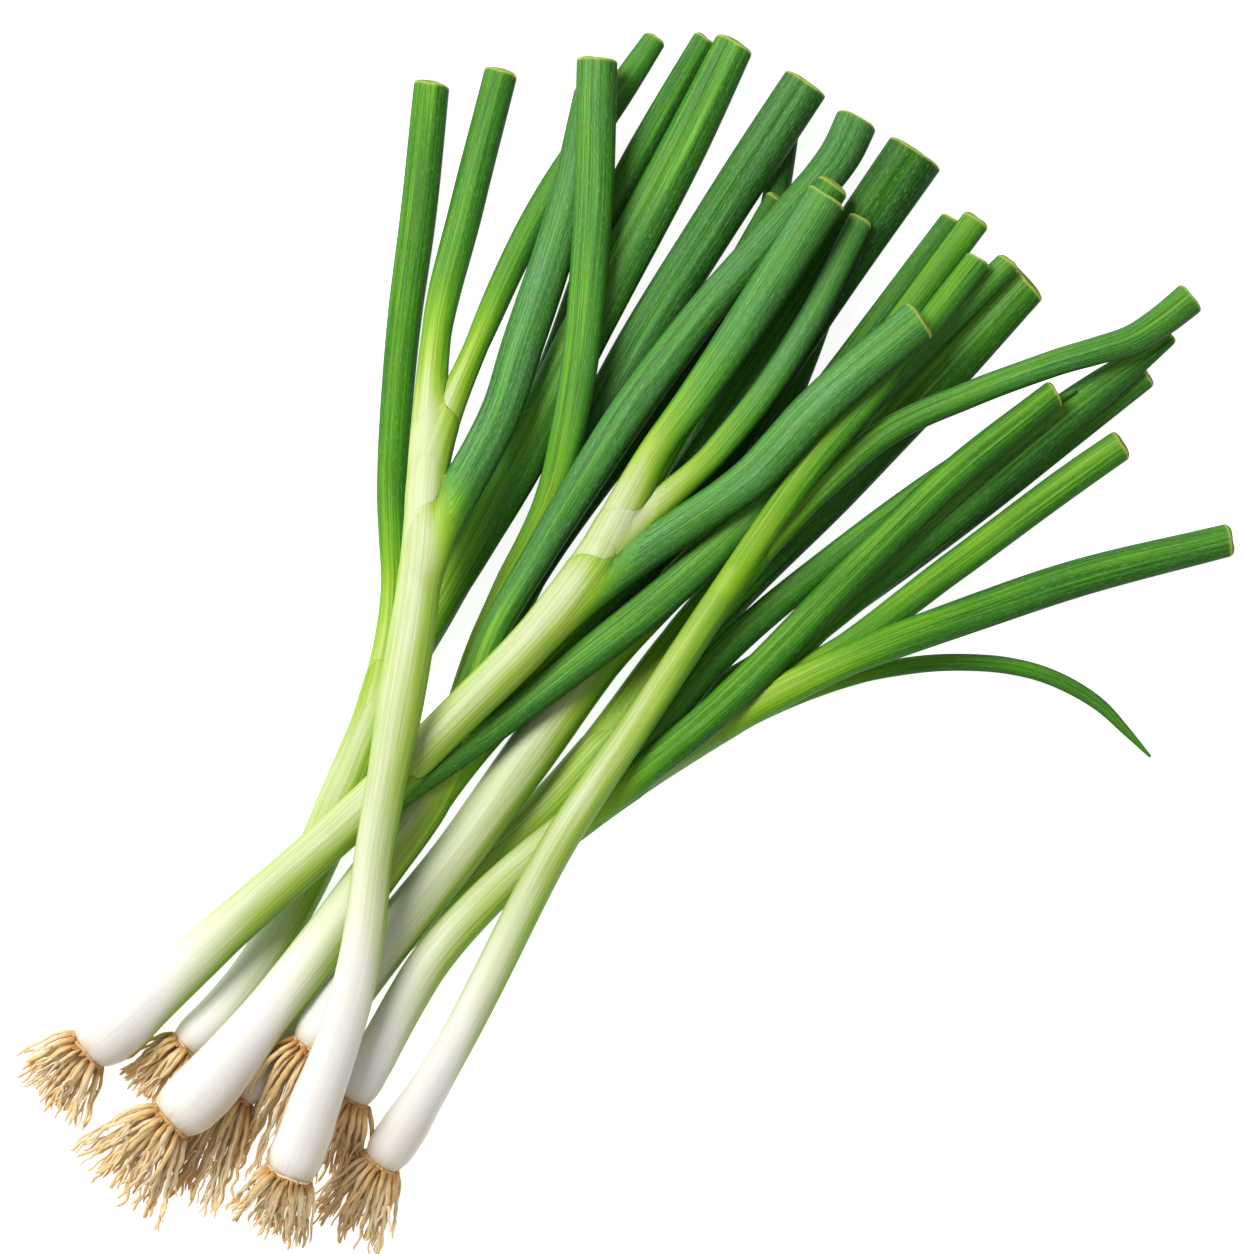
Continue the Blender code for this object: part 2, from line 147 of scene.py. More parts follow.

# Colours by greenness.  Below zero the white skin is tan: dry at the foot, and painted tan shade
# on the bulb's shaded side.  Above 1 are the darkest greens, reached by painted shade and by the
# darker leaves.
SKIN_COLOURS = [
    (-0.20, (214, 182, 136)), (-0.07, (240, 230, 212)), (0.00, (245, 242, 237)),
    (0.10, (245, 244, 230)), (0.26, (228, 233, 197)), (0.42, (206, 217, 163)),
    (0.56, (173, 202, 80)), (0.70, (137, 183, 36)), (0.84, (98, 162, 14)),
    (1.00, (54, 124, 6)), (1.25, (22, 76, 3)),
]
DRIEST = SKIN_COLOURS[0][0]
GREENEST = SKIN_COLOURS[-1][0]
PAINTED_LIGHT_REACH = 34.0          # painted light: how much further up the white is painted on a skin's lit side, and the green further down on its shaded side
LIGHT = (0.1, 0.62, 0.78)   # the direction from which the onions had their light
SHADE = 0.80              # the studio is brighter than white, so every colour is a little darker

# The first colour is the bluish waxen coat, also the colour of the painted highlight on a leaf's
# lit side.
WAX_AND_HIGHLIGHT = (102, 162, 100)
FLECK = (176, 216, 150)
RIB = (150, 178, 84)
RIM = (176, 200, 84)

# Colours of a root by the share along it, and of the patches, roots and plate that differ.
ROOT_COLOURS = [
    (0.0, (218, 166, 96)), (0.15, (252, 214, 148)), (0.6, (255, 230, 180)),
    (1.0, (252, 214, 150)),
]
ROOT_PATCH = (224, 174, 100)
PALE_ROOT = (255, 246, 216)
DARK_ROOT = (210, 154, 84)
PLATE_BROWN = (176, 122, 60)

# The patterns on a skin: how fine each is round and along it, its shift, and its detail.
PATTERNS = {
    "veins": ((1.3, 1.3, 0.010), (0.0, 0.0, 0.0), 3.0),
    "threads": ((4.2, 4.2, 0.035), (9.0, 4.0, 2.0), 2.0),
    "cloud": ((0.20, 0.20, 0.035), (3.0, 8.0, 5.0), 4.0),
    "flecks": ((4.4, 4.4, 0.55), (1.0, 2.0, 7.0), 3.0),
    "ribs": ((2.4, 2.4, 0.022), (5.0, 6.0, 1.0), 2.0),
}

# The camera looks straight down.  The root ends are at the lower left of its view.
VIEW_CENTRE = (22.15, 0.0)
VIEW_WIDTH = 338.6        # what the view takes in from left to right
VIEW_LEVEL = 12.0         # at this height
VIEW_RIGHT = (0.6, -0.8, 0.0)
VIEW_UP = (0.8, 0.6, 0.0)
LENS = 400.0
SENSOR = 36.0

FLOOR_GLOW = 0.88
SKY_LIGHT = 0.44
KEY_LIGHT = {"place": (0.15, 0.95, 1.25), "size": 0.8, "power": 29.0}   # in metres and watts


def smooth(x):
    """From 0 to 1 as x does, with level ends."""
    x = np.clip(x, 0.0, 1.0)
    return x * x * (3 - 2 * x)


def bend(t, begin, leaving, end, arriving):
    """A curve from one value to another, with its slope at both, for t from 0 to 1."""
    return ((2 * t**3 - 3 * t**2 + 1) * begin + (t**3 - 2 * t**2 + t) * leaving
            + (3 * t**2 - 2 * t**3) * end + (t**3 - t**2) * arriving)


def linear(colour):
    """A display colour, 0 to 255, as the linear colour that a shader takes."""
    share = [c / 255 for c in colour]
    return tuple(SHADE * ((c + 0.055) / 1.055) ** 2.4 for c in share) + (1.0,)


# ---------------------------------------- reading the CAD nodes

def welded(name):
    """A node's points in millimetres, with its doubled vertices joined, and its triangles."""
    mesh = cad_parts[name].data
    places = np.empty(len(mesh.vertices) * 3, np.float32)
    mesh.vertices.foreach_get("co", places)
    mesh.calc_loop_triangles()
    corners = np.empty(len(mesh.loop_triangles) * 3, np.int32)
    mesh.loop_triangles.foreach_get("vertices", corners)
    keys = np.round(places.reshape(-1, 3).astype(float) / MM, 3)
    points, index = np.unique(keys, axis=0, return_inverse=True)
    return points, index.reshape(-1)[corners].reshape(-1, 3)


def neighbours(count, triangles):
    """For each point, the points that it shares a triangle with."""
    linked = [set() for _ in range(count)]
    for a, b, c in triangles:
        linked[a].update((b, c))
        linked[b].update((a, c))
        linked[c].update((a, b))
    return linked


def levels(start, linked):
    """The points in order of their distance along the mesh from the starting ones."""
    seen = set(start)
    found = [sorted(start)]
    while True:
        following = set()
        for point in found[-1]:
            following |= linked[point] - seen
        if not following:
            return found
        seen |= following
        found.append(sorted(following))


def end_ring(points, triangles, linked):
    """The ring of points round one flat end of a tube."""
    last = levels([0], linked)[-1][0]
    ahead = points[last] - points[levels([last], linked)[3]].mean(axis=0)
    best, ring = -1.0, None
    for corners in triangles:
        if last in corners:
            a, b, c = points[corners]
            normal = np.cross(b - a, c - a)
            size = np.linalg.norm(normal)
            facing = abs(normal @ ahead) / (size * np.linalg.norm(ahead) + 1e-9)
            if size > 1e-6 and facing > best:
                off_plane = np.abs((points - a) @ normal) / size
                near = np.linalg.norm(points - a, axis=1) < END_REACH
                best, ring = facing, np.flatnonzero((off_plane < END_FLATNESS) & near)
    return list(ring)


class Path:
    """A line with a half width and a half height, by the length along it."""

    def __init__(self, centres, half_width, half_height):
        steps = np.linalg.norm(np.diff(centres, axis=0), axis=1)
        self.knots = np.concatenate([[0.0], np.cumsum(steps)])
        self.length = self.knots[-1]
        self.values = np.column_stack([centres, half_width, half_height])
        self.slopes = np.gradient(self.values, self.knots, axis=0)

    def at(self, s):
        """Centre, half width and half height.  The line goes straight on past its ends."""
        s = np.atleast_1d(np.asarray(s, float))
        inside = np.clip(s, 0.0, self.length)
        last = len(self.knots) - 2
        span = np.clip(np.searchsorted(self.knots, inside, side="right") - 1, 0, last)
        size = (self.knots[span + 1] - self.knots[span])[:, None]
        t = (inside - self.knots[span])[:, None] / size
        values = bend(t, self.values[span], size * self.slopes[span],
                      self.values[span + 1], size * self.slopes[span + 1])
        heading = np.where((s > 0)[:, None], self.slopes[-1, :3], self.slopes[0, :3])
        return values[:, :3] + (s - inside)[:, None] * heading, values[:, 3], values[:, 4]

    def ahead(self, s):
        """The direction of the line."""
        s = np.atleast_1d(np.asarray(s, float))
        step = self.at(s + 0.5)[0] - self.at(s - 0.5)[0]
        return step / np.linalg.norm(step, axis=1)[:, None]

    def nearest(self, place):
        """The length along the line of its nearest point to a place."""
        s = np.linspace(0, self.length, 400)
        return float(s[np.linalg.norm(self.at(s)[0] - place, axis=1).argmin()])


def evened(values):
    """Sizes along a leaf without the corners between the stretches of its CAD node."""
    for _ in range(2):
        inner = 0.25 * values[:-2] + 0.5 * values[1:-1] + 0.25 * values[2:]
        values = np.concatenate([values[:1], inner, values[-1:]])
    return values


def trace(name, first_near):
    """The path of a tube-shaped node, from the end that is nearer to a place."""
    points, triangles = welded(name)
    linked = neighbours(len(points), triangles)
    rings = levels(end_ring(points, triangles, linked), linked)
    middles = np.array([points[ring].mean(axis=0) for ring in rings])
    if np.linalg.norm(middles[0] - first_near) > np.linalg.norm(middles[-1] - first_near):
        rings.reverse()
        middles = middles[::-1]
    centres, widths, heights = [], [], []
    for i, ring in enumerate(rings):
        heading = middles[min(i + 1, len(rings) - 1)] - middles[max(i - 1, 0)]
        side = np.cross((0, 0, 1), heading)
        side /= np.linalg.norm(side)
        up = np.cross(heading / np.linalg.norm(heading), side)
        away = points[ring] - middles[i]
        across, above = away @ side, away @ up
        centres.append(middles[i] + side * (across.max() + across.min()) / 2
                       + up * (above.max() + above.min()) / 2)
        widths.append((across.max() - across.min()) / 2)
        heights.append((above.max() - above.min()) / 2)
    widths, heights = np.array(widths), np.array(heights)
    if "_stem" in name:
        heights /= STEM_CREST
    else:
        widths, heights = evened(widths), evened(heights)
    return Path(np.array(centres), widths, heights)


# ---------------------------------------- making skins

def frames(path, s):
    """The directions along a path, across it and above it."""
    ahead = path.ahead(s)
    side = np.cross((0.0, 0.0, 1.0), ahead)
    side /= np.linalg.norm(side, axis=1)[:, None]
    return ahead, side, np.cross(ahead, side)


def ripple(chance, angle, s, size, waves=(2, 3, 4, 5), length=45.0):
    """Slow random waves round and along a skin."""
    total = np.zeros(np.broadcast(angle, s).shape)
    for n in waves:
        for _ in range(2):
            turn = chance.uniform(0, math.tau)
            pace = math.tau / length * chance.uniform(-1.2, 1.2)
            total += np.cos(n * angle + pace * s + turn) * chance.uniform(0.4, 1.0) / n
    return total * size


def round_angles(sides):
    """The angles of a ring's points, in one row."""
    return np.linspace(0, math.tau, sides, endpoint=False)[None, :]


def ringed(centre, side, up, across, above):
    """Rings of points round a line, from how far each lies across and above it."""
    return (centre[:, None, :] + side[:, None, :] * across[..., None]
            + up[:, None, :] * above[..., None])


def lift(places, thickness=0.0):
    """Keep places at least a thickness above the surface."""
    places[..., 2] = np.maximum(places[..., 2], thickness + FLOOR_GAP)


def bridges(count, around, first=0):
    """The faces between neighbouring rings of points."""
    faces = []
    for start in range(first, first + (count - 1) * around, around):
        for k in range(around):
            after = (k + 1) % around
            faces.append((start + k, start + after, start + around + after, start + around + k))
    return faces


def new_piece(name, points, faces, finish):
    """A smooth piece from points in millimetres."""
    mesh = bpy.data.meshes.new(name)
    mesh.from_pydata((points * MM).tolist(), [], faces)
    mesh.shade_smooth()
    mesh.materials.append(finish)
    piece = bpy.data.objects.new(name, mesh)
    bpy.context.scene.collection.objects.link(piece)
    return piece


def store(piece, label, values):
    """Give each point of a piece one value or three for its material to read."""
    kind, field = ("FLOAT_VECTOR", "vector") if values.ndim > 1 else ("FLOAT", "value")
    made = piece.data.attributes.new(label, kind, "POINT")
    made.data.foreach_set(field, values.astype(np.float32).ravel())


def skin(name, rings, tone, grain, calm, finish):
    """A piece through rings of points, closed at both ends, with its material's values.

    The tone is greenness, with painted light and shade in it, the waxen coat, also a painted
    highlight on a leaf's lit side, and rim.  The veins fade where the calm is near 1.
    """
    count, around = rings.shape[:2]
    ends = np.array([rings[0].mean(axis=0), rings[-1].mean(axis=0)])
    faces = bridges(count, around)
    top = (count - 1) * around
    for k in range(around):
        after = (k + 1) % around
        faces.append((count * around, after, k))
        faces.append((count * around + 1, top + k, top + after))
    piece = new_piece(name, np.concatenate([rings.reshape(-1, 3), ends]), faces, finish)
    for label, values in (("tone", tone), ("grain", grain)):
        flat = values.reshape(-1, 3)
        store(piece, label, np.concatenate([flat, flat[:1], flat[-1:]]))
    store(piece, "calm", np.concatenate([calm.ravel(), [0.0, 0.0]]))
    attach(piece, "root")
    return piece


def grain_of(letter, angle, along):
    """Where each point lies in the pattern of the veins, which runs on from stem to leaf."""
    start = GRAIN_START * (ord(letter) - ord("a"))
    full = np.zeros(np.broadcast(angle, along).shape)
    return np.stack([full + GRAIN_RADIUS * np.cos(angle), full + GRAIN_RADIUS * np.sin(angle),
                     full + along + start], axis=-1)


def stem_green(letter, s, length):
    """Greenness along a stem."""
    white, reached, shank, fork = STEM_GREEN[letter]
    rise = smooth((s - white) / (reached - white))
    last = smooth((s - reached) / max(length - reached, 20.0))
    return shank * rise + (fork - shank) * last


def stem_profile(path, s):
    """Half width and half height of a stem's skin, with its rounded foot and hidden tip."""
    half_width, half_height = path.at(np.clip(s, 0.0, path.length))[1:]
    rounded = np.sqrt(1 - (1 - np.clip(s / FOOT_ROUND, 0, 1)) ** 2)
    foot = FOOT_SIZE + (1 - FOOT_SIZE) * rounded
    swell = 1 + 0.06 * np.sin(math.pi * np.clip(s / BULB_END, 0, 1))
    tip = 1 - 0.8 * smooth((s - path.length + 16) / 20)
    return half_width * foot * swell * tip, half_height * foot * swell * tip


def build_stem(letter, path, chance):
    s = np.arange(0.0, path.length + TIP, RING_STEP)
    s = np.concatenate([FOOT_RINGS, s[1:]])
    centre = path.at(s)[0]
    half_width, half_height = stem_profile(path, s)
    side, up = frames(path, s)[1:]
    angle = round_angles(STEM_SIDES)
    along = s[:, None]
    wave = 1 + ripple(chance, angle, along, 0.010)
    ribs = 1 + ripple(chance, angle, along, 0.004, waves=(9, 13, 17), length=160)
    across = np.cos(angle) * half_width[:, None] * wave * ribs
    above = np.sin(angle) * half_height[:, None] * wave * ribs
    rings = ringed(centre, side, up, across, above)
    lift(rings)
    turned = turned_away(rings, centre)
    # Painted light and shade: the white is painted further up on the lit side, the pale skin a
    # stronger green on the side turned from the light, and tan shade under the bulb and at its
    # outline; the foot is also tan where it is dry.
    green = stem_green(letter, along + PAINTED_LIGHT_REACH * (turned - 0.3), path.length)
    green = green + painted_shade_green(turned, green) - dry_foot_and_painted_shade(along, turned)
    tone = np.stack([green, np.full_like(green, 0.1), np.zeros_like(green)], axis=-1)
    grain = grain_of(letter, angle, along)
    piece = skin(f"{letter}_stem", rings, tone, grain, np.zeros_like(green), STEM_SKIN)
    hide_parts(f"onion_{letter}_stem")


def turned_away(rings, centre):
    """From 0 on the side that faces up and to the light to 1 on the opposite side and towards the
    steep sides of the outline: the mask of the light and shade painted into the skins' colours.
    """
    away = rings - centre[:, None, :]
    away /= np.linalg.norm(away, axis=2)[..., None] + 1e-9
    return np.clip(0.5 - 0.5 * (away @ np.array(LIGHT))
                   + 0.40 * (1 - np.abs(away[..., 2])) ** 3, 0, 1)


def painted_shade_green(turned, green):
    """Painted shade: the pale skin is painted a stronger, more saturated green on the side turned
    away from the light.
    """
    return 0.40 * turned * smooth(green / 0.2) * (1 - smooth((green - 0.5) / 0.5))


def dry_foot_and_painted_shade(along, turned):
    """The white skin is a little tan at the foot, where it is dry, and painted tan shade lies on
    it underneath and at its outline near the bulb.
    """
    return 0.09 * smooth(1 - along / 5) + 0.11 * turned * smooth(1 - along / 60)


def joint_with(stem, leaf):
    """Where along its stem a leaf starts, and whether it is a side leaf."""
    joint = stem.nearest(leaf.at(0.0)[0][0])
    return joint, joint < stem.length - SIDE_LEAF


def drawn_back(name, leaf, stem):
    """The leaf's path with its foot drawn back into the stem as a sheath round it.

    Also the joint, the length of the new path up to it, and whether this is a side leaf.
    """
    joint, at_side = joint_with(stem, leaf)
    behind, own = SIDE_SHEATH if at_side else END_SHEATH
    start = max(joint - behind, SHEATH_START)
    begin, stem_width, stem_height = stem.at(start)
    meet, leaf_width, leaf_height = leaf.at(own)
    reach = np.linalg.norm(meet - begin)
    t = np.linspace(0, 1, 24)[:-1, None]
    back = bend(t, begin, reach * stem.ahead(start), meet, reach * leaf.ahead(own))
    shown = at_side or name in LAST_FORKS or name in LAST_FORKS.values()
    fit = 0.97 if shown else 0.90
    blend = smooth(t[:, 0])
    wide = min(fit * stem_width[0], SHEATH_SWELL[0] * leaf_width[0])
    high = min(fit * stem_height[0], SHEATH_SWELL[1] * leaf_height[0])
    front = np.arange(own, leaf.length + 0.01, PATH_STEP)
    front[-1] = leaf.length
    centre, half_width, half_height = leaf.at(front)
    path = Path(np.concatenate([back, centre]),
                np.concatenate([wide + (leaf_width[0] - wide) * blend, half_width]),
                np.concatenate([high + (leaf_height[0] - high) * blend, half_height]))
    return path, joint, joint - start, at_side


def section(name, path, s, sunk, angle, chance):
    """Across and above, as shares of the half sizes, of a leaf's section."""
    along = s[:, None]
    grown = smooth((along - sunk) / 30)
    wave = 1 + ripple(chance, angle, along, 0.016, waves=(2, 3, 4), length=60) * grown
    wave += ripple(chance, angle, along, 0.004, waves=(7, 9, 11), length=120)
    across, above = np.cos(angle) * wave, np.sin(angle) * wave
    depth, place = FOLDS.get(name, (0.12, chance.uniform(-0.3, 0.3)))
    wander = place + 0.12 * np.sin(along / 31 + chance.uniform(0, 6))
    half_height = path.at(s)[2][:, None]
    dent = np.exp(-((across - wander) / 0.13) ** 2) * depth * 0.55 / half_height * grown
    above = np.where(above > 0, above - np.minimum(dent, 0.5) * np.sqrt(np.abs(above)), above)
    return across, above


class Core:
    """What a sheath is wrapped round: a stem or leaf as a row of sections."""

    def __init__(self, path):
        self.line = np.linspace(0, path.length, int(path.length * 2))
        self.middle, self.half_width, self.half_height = path.at(self.line)
        self.side, self.up = frames(path, self.line)[1:]

    def seen_from(self, points):
        """The nearest section to each point, and how far the point is across and above it."""
        gap = points[:, None, :] - self.middle[None, :, :]
        place = (gap**2).sum(axis=2).argmin(axis=1)
        away = points - self.middle[place]
        across = (away * self.side[place]).sum(axis=1)
        above = (away * self.up[place]).sum(axis=1)
        return place, across, above


def fork_from(path, s, core):
    """A leaf's first ring free of its core, on which side, and where on the core."""
    own, own_width, own_height = path.at(s)
    place, across, above = core.seen_from(own)
    free = np.hypot(across / (core.half_width[place] + own_width),
                    above / (core.half_height[place] + own_height)) > FREE
    fork = min(int(np.argmax(free)), LATEST_FORK)
    return fork, np.sign(across[fork]), core.line[place[fork]]


def sheath_size(inside, share, start):
    """The least size of a sheath, as a share of its core's, with a lip round the mouth."""
    lip = 0.042 + 0.020 * smooth(share * 1.5)
    return 0.955 + (0.035 + lip * start) * smooth((inside + 0.6) / 1.2)


def mouth_edge(inside, share, size):
    """How near each point is to the mouth's edge, where it lies close on the core."""
    covers = smooth((1.12 - size) / 0.08)
    edge = smooth((2.6 - inside) / 1.6) * smooth((inside + 1.2) / 0.6) * covers
    return edge * smooth((share - 0.15) / 0.6)


def wrapped(rings, path, s, core, drop):
    """Wrap the foot of a leaf round the core that comes out of it, up to a slanting mouth.

    Gives the moved rings and, for each point, how near it is to the mouth, how far it is
    round from the leaf's own side (0) to the far side of the core (1), its angle round the
    core, and how much its veins follow the core's.
    """
    fork, direction, mouth = fork_from(path, s, core)
    last = fork + PAST_FORK
    moved = rings.copy()
    edge, round_it, core_angle, follows = np.zeros((4,) + rings.shape[:2])
    for i in range(last):
        place, sideways, upward = core.seen_from(rings[i])
        across = sideways / core.half_width[place]
        above = upward / core.half_height[place]
        size = np.hypot(across, above) + 1e-6
        share = (1 + direction * across / size) / 2
        inside = mouth + 1.0 - drop * (1 - np.sqrt(share)) - core.line[place]
        target = sheath_size(inside, share, smooth(s[i] / 14))
        grow = np.maximum(target / size, 1.0) - 1
        shift = (core.side[place] * (across * core.half_width[place] * grow)[:, None]
                 + core.up[place] * (above * core.half_height[place] * grow)[:, None])
        moved[i] = rings[i] + shift * smooth((last - i) / 6)
        edge[i] = mouth_edge(inside, share, size)
        round_it[i] = 1 - share
        core_angle[i] = np.arctan2(above, across)
        follows[i] = smooth((1.7 - size) / 0.7) * smooth((last - i) / 20)
    return moved, edge, round_it, core_angle, follows


def leaf_stations(path, sunk, pointed):
    """Where the rings of a leaf lie, and how many of them are outside.

    The others follow the wall of a cut leaf's hollow back from its end.
    """
    fine = sunk + FINE_PAST_FORK
    outer = np.concatenate([np.arange(0, fine, RING_STEP / 2),
                            np.arange(fine, path.length - CUT_START, RING_STEP),
                            path.length - np.array(CUT_RINGS)])
    if pointed:
        return outer, len(outer)
    inner = np.linspace(path.length, path.length - HOLLOW_DEPTH, HOLLOW_RINGS)
    return np.concatenate([outer, inner]), len(outer)


def leaf_sizes(path, s, outside):
    """Half width and half height of each ring of a leaf, less by the wall in the hollow."""
    inward = np.where(np.arange(len(s)) < outside, 0.0, WALL)
    if outside < len(s):
        inward[outside - 1] = 0.10
        inward[outside] = WALL * 0.8
    half_width, half_height = path.at(s)[1:]
    return (np.maximum(half_width - inward, 0.3)[:, None],
            np.maximum(half_height - inward, 0.25)[:, None])


def cut_shift(path, s, angle, across, from_below, chance):
    """How far each point near a leaf's end moves along it, for an uneven cut."""
    near_end = smooth((s - path.length + 10) / 10)[:, None]
    cut = ripple(chance, angle, np.zeros((1, 1)), 0.16, waves=(2, 3, 5, 9))
    cut = cut - 0.9 * np.abs(np.cos(angle)) ** 5
    slant = chance.uniform(-0.12, 0.12)
    lean = chance.uniform(0.05, 0.22)
    return (END_BULGE + cut + across * slant - from_below * lean) * near_end


def reached_green(name, past_joint, round_it, at_side):
    """How far a leaf has turned from its stem's green (0) to its own (1)."""
    if at_side:
        return smooth((past_joint + 26 - 14 * round_it) / 36)
    turns = TURNS_GREEN.get(name, USUAL_TURN)
    return smooth((past_joint + 6 - 8 * round_it) / turns) ** 0.75


def leaf_tone(name, stem, along, reached, turned, edge, rim):
    """Greenness, waxen coat and rim of each point of a leaf, with painted light and shade: the
    lit side lighter, the side turned from the light a darker green, and the coat painted
    brightest on the lit side as a painted highlight.
    """
    bloom_and_highlight, shade = LEAF_TONE[name]
    # Painted light: the pale foot is painted white further up on the lit side.
    below = np.clip(along + PAINTED_LIGHT_REACH * (turned - 0.3), 0, stem.length)
    base = stem_green(name[0], below, stem.length)
    green = base + (LEAF_GREEN - base) * reached
    # Painted shade and light: a stronger, darker green on the side turned from the light and a
    # lighter lit side; each leaf's shade is partly its own green and partly painted shade.
    green = green + painted_shade_green(turned, green)
    green = green + (0.36 * (turned - 0.17) - 0.6 * shade) * reached
    green = green * (1 - 0.85 * edge)
    # Painted highlight: the waxen coat is brightest on the lit side and fades on the side turned
    # from the light.
    bloom_with_painted_highlight = bloom_and_highlight * reached * (1.25 - 1.4 * turned) + 0.02
    return np.stack([green, bloom_with_painted_highlight, np.broadcast_to(rim[:, None], green.shape)], axis=-1)


def cut_rim(path, s, outside):
    """The pale rim of a cut leaf, and half of it in the hollow."""
    if outside == len(s):
        return np.zeros(len(s))
    rim = smooth((s - path.length + 0.8) / 0.6)
    rim[outside + 2:] = 0.5
    return rim


def leaf_rings(name, path, s, outside, sunk, angle, chance):
    """The rings of a leaf, before its foot is wrapped round anything."""
    across, above = section(name, path, s, sunk, angle, chance)
    half_width, half_height = leaf_sizes(path, s, outside)
    across, above = across * half_width, above * half_height
    ahead, side, up = frames(path, s)
    push = cut_shift(path, s, angle, across, above + half_height, chance)
    rings = ringed(path.at(s)[0], side, up, across, above)
    if outside < len(s):
        rings = rings + ahead[:, None, :] * push[..., None]
    return rings


def build_leaf(letter, name, leaf, stem, core, chance):
    path, joint, sunk, at_side = drawn_back(name, leaf, stem)
    pointed = leaf.at(leaf.length)[1][0] < POINTED
    s, outside = leaf_stations(path, sunk, pointed)
    angle = round_angles(LEAF_SIDES)
    rings = leaf_rings(name, path, s, outside, sunk, angle, chance)
    edge = round_it = calm = np.zeros(rings.shape[:2])
    along = (s + joint - sunk)[:, None]
    grain = grain_of(letter, angle, along)
    if core:
        drop = MOUTHS.get(name, MOUTH)
        rings, edge, round_it, core_angle, follows = wrapped(rings, path, s, Core(core), drop)
        grain += (grain_of(letter, core_angle, along) - grain) * follows[..., None]
        calm = smooth(6 * follows * (1 - follows))
    lift(rings)
    turned = turned_away(rings, path.at(s)[0])
    reached = reached_green(name, s[:, None] - sunk, round_it, at_side)
    tone = leaf_tone(name, stem, along, reached, turned, edge, cut_rim(path, s, outside))
    piece = skin(name, rings, tone, grain, calm, LEAF_SKIN)
    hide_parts("onion_" + name)


# ---------------------------------------- roots

def thread(places, radius):
    """Rings of points round a line of places."""
    ahead = np.gradient(places, axis=0)
    ahead /= np.linalg.norm(ahead, axis=1)[:, None]
    side = np.cross((0.13, 0.21, 1.0), ahead)
    side /= np.linalg.norm(side, axis=1)[:, None]
    up = np.cross(ahead, side)
    angle = round_angles(ROOT_SIDES)[0]
    ring = (side[:, None, :] * np.cos(angle)[None, :, None]
            + up[:, None, :] * np.sin(angle)[None, :, None])
    return places[:, None, :] + ring * radius[:, None, None]


def root_line(start, out, heading, length, drop, chance):
    """One wavy root that leaves the plate outward, turns to its heading and comes down."""
    count = max(8, int(length / ROOT_STEP))
    t = np.linspace(0, 1, count)
    turn = smooth(t * 2.2)[:, None]
    flow = out * (1 - turn) + heading * turn
    flow /= np.linalg.norm(flow, axis=1)[:, None]
    places = start + np.cumsum(flow, axis=0) * length / count
    side = np.cross((0, 0, 1), heading)
    for _ in range(3):
        waves = chance.uniform(0.6, 4.2) * length / 22
        swing = chance.uniform(0.10, 0.40) * np.sin(math.tau * waves * t + chance.uniform(0, 6))
        places += side * (swing * t)[:, None]
        rise = chance.uniform(0.1, 0.45) * np.sin(math.tau * waves * t + chance.uniform(0, 6))
        places[:, 2] += rise * t
    fall = smooth(t * 1.15)
    places[:, 2] = places[:, 2] * (1 - fall) + drop * fall
    return places


class Seat:
    """The foot of a bulb, on which the plate and the roots sit."""

    def __init__(self, stem):
        self.foot, self.half_width, self.half_height = [value[0] for value in stem.at(0.0)]
        self.back = -stem.ahead(0.0)[0]
        side = np.cross((0, 0, 1), self.back)
        self.side = side / np.linalg.norm(side)
        self.up = np.cross(self.back, self.side)

    def spoke(self, turn):
        """From the middle of the foot to its rim."""
        return (self.side * math.cos(turn) * self.half_width
                + self.up * math.sin(turn) * self.half_height)


def tuft_limits(letter, seat):
    """How far a tuft's CAD node reaches from the foot, and between which directions."""
    away = welded(f"onion_{letter}_roots")[0] - seat.foot
    reach = np.linalg.norm(away[:, :2], axis=1)
    far = away[reach > 0.6 * reach.max()]
    swing = np.arctan2(far @ seat.side, far @ seat.back)
    return reach.max(), swing.min(), swing.max()


def root_heading(seat, low, high, turn, spread, chance):
    """The level direction in which a root ends up, between the tuft's limits."""
    aim = (low + high) / 2 + (high - low) * FAN * math.cos(turn) * spread ** 0.7
    aim += chance.uniform(-0.14, 0.14)
    aim = min(max(aim, low - 0.05), high + 0.05)
    heading = seat.back * math.cos(aim) + seat.side * math.sin(aim)
    heading[2] = 0
    return heading / np.linalg.norm(heading)


def root_radius(thick, t, length, turn, chance):
    """The radius along a root, wider at its foot and rounded at its end."""
    radius = thick * (1 - 0.45 * t) * (1 - smooth((t - 0.96) / 0.04) * 0.6)
    radius *= 1 + 0.25 * np.exp(-t * length / 2.0)
    radius *= 1 + 0.10 * np.sin(t * length * chance.uniform(1.0, 2.2) + turn)
    return radius


def grow_roots(letter, seat, chance):
    """Line, radius and share of the length along every root of a tuft."""
    reach, low, high = tuft_limits(letter, seat)
    made = []
    for number in range(ROOT_COUNT):
        turn = math.tau * (number * 0.382 + chance.uniform(-0.05, 0.05))
        spread = math.sqrt((number + 0.5) / ROOT_COUNT)
        spot = seat.spoke(turn)
        start = seat.foot + seat.back * (1.2 * (1 - spread**3) - 0.1) + spot * 0.84 * spread
        out = seat.back * (1.2 - 0.6 * spread) + spot / seat.half_width * spread * 0.7
        heading = root_heading(seat, low, high, turn, spread, chance)
        length = (reach - 1.0) * chance.uniform(0.68, 1.0) ** 0.7
        thick = chance.uniform(0.48, 0.86)
        drop = max(chance.uniform(0.5, 3.2) * (0.6 + 0.5 * math.sin(turn)), 0.4)
        line = root_line(start, out, heading, length, drop, chance)
        t = np.linspace(0, 1, len(line))
        radius = root_radius(thick, t, length, turn, chance)
        lift(line, radius)
        made.append((line, radius, t))
        if chance.random() < 0.4:
            made.append(branch(line, radius, heading, seat.side, chance))
    return made


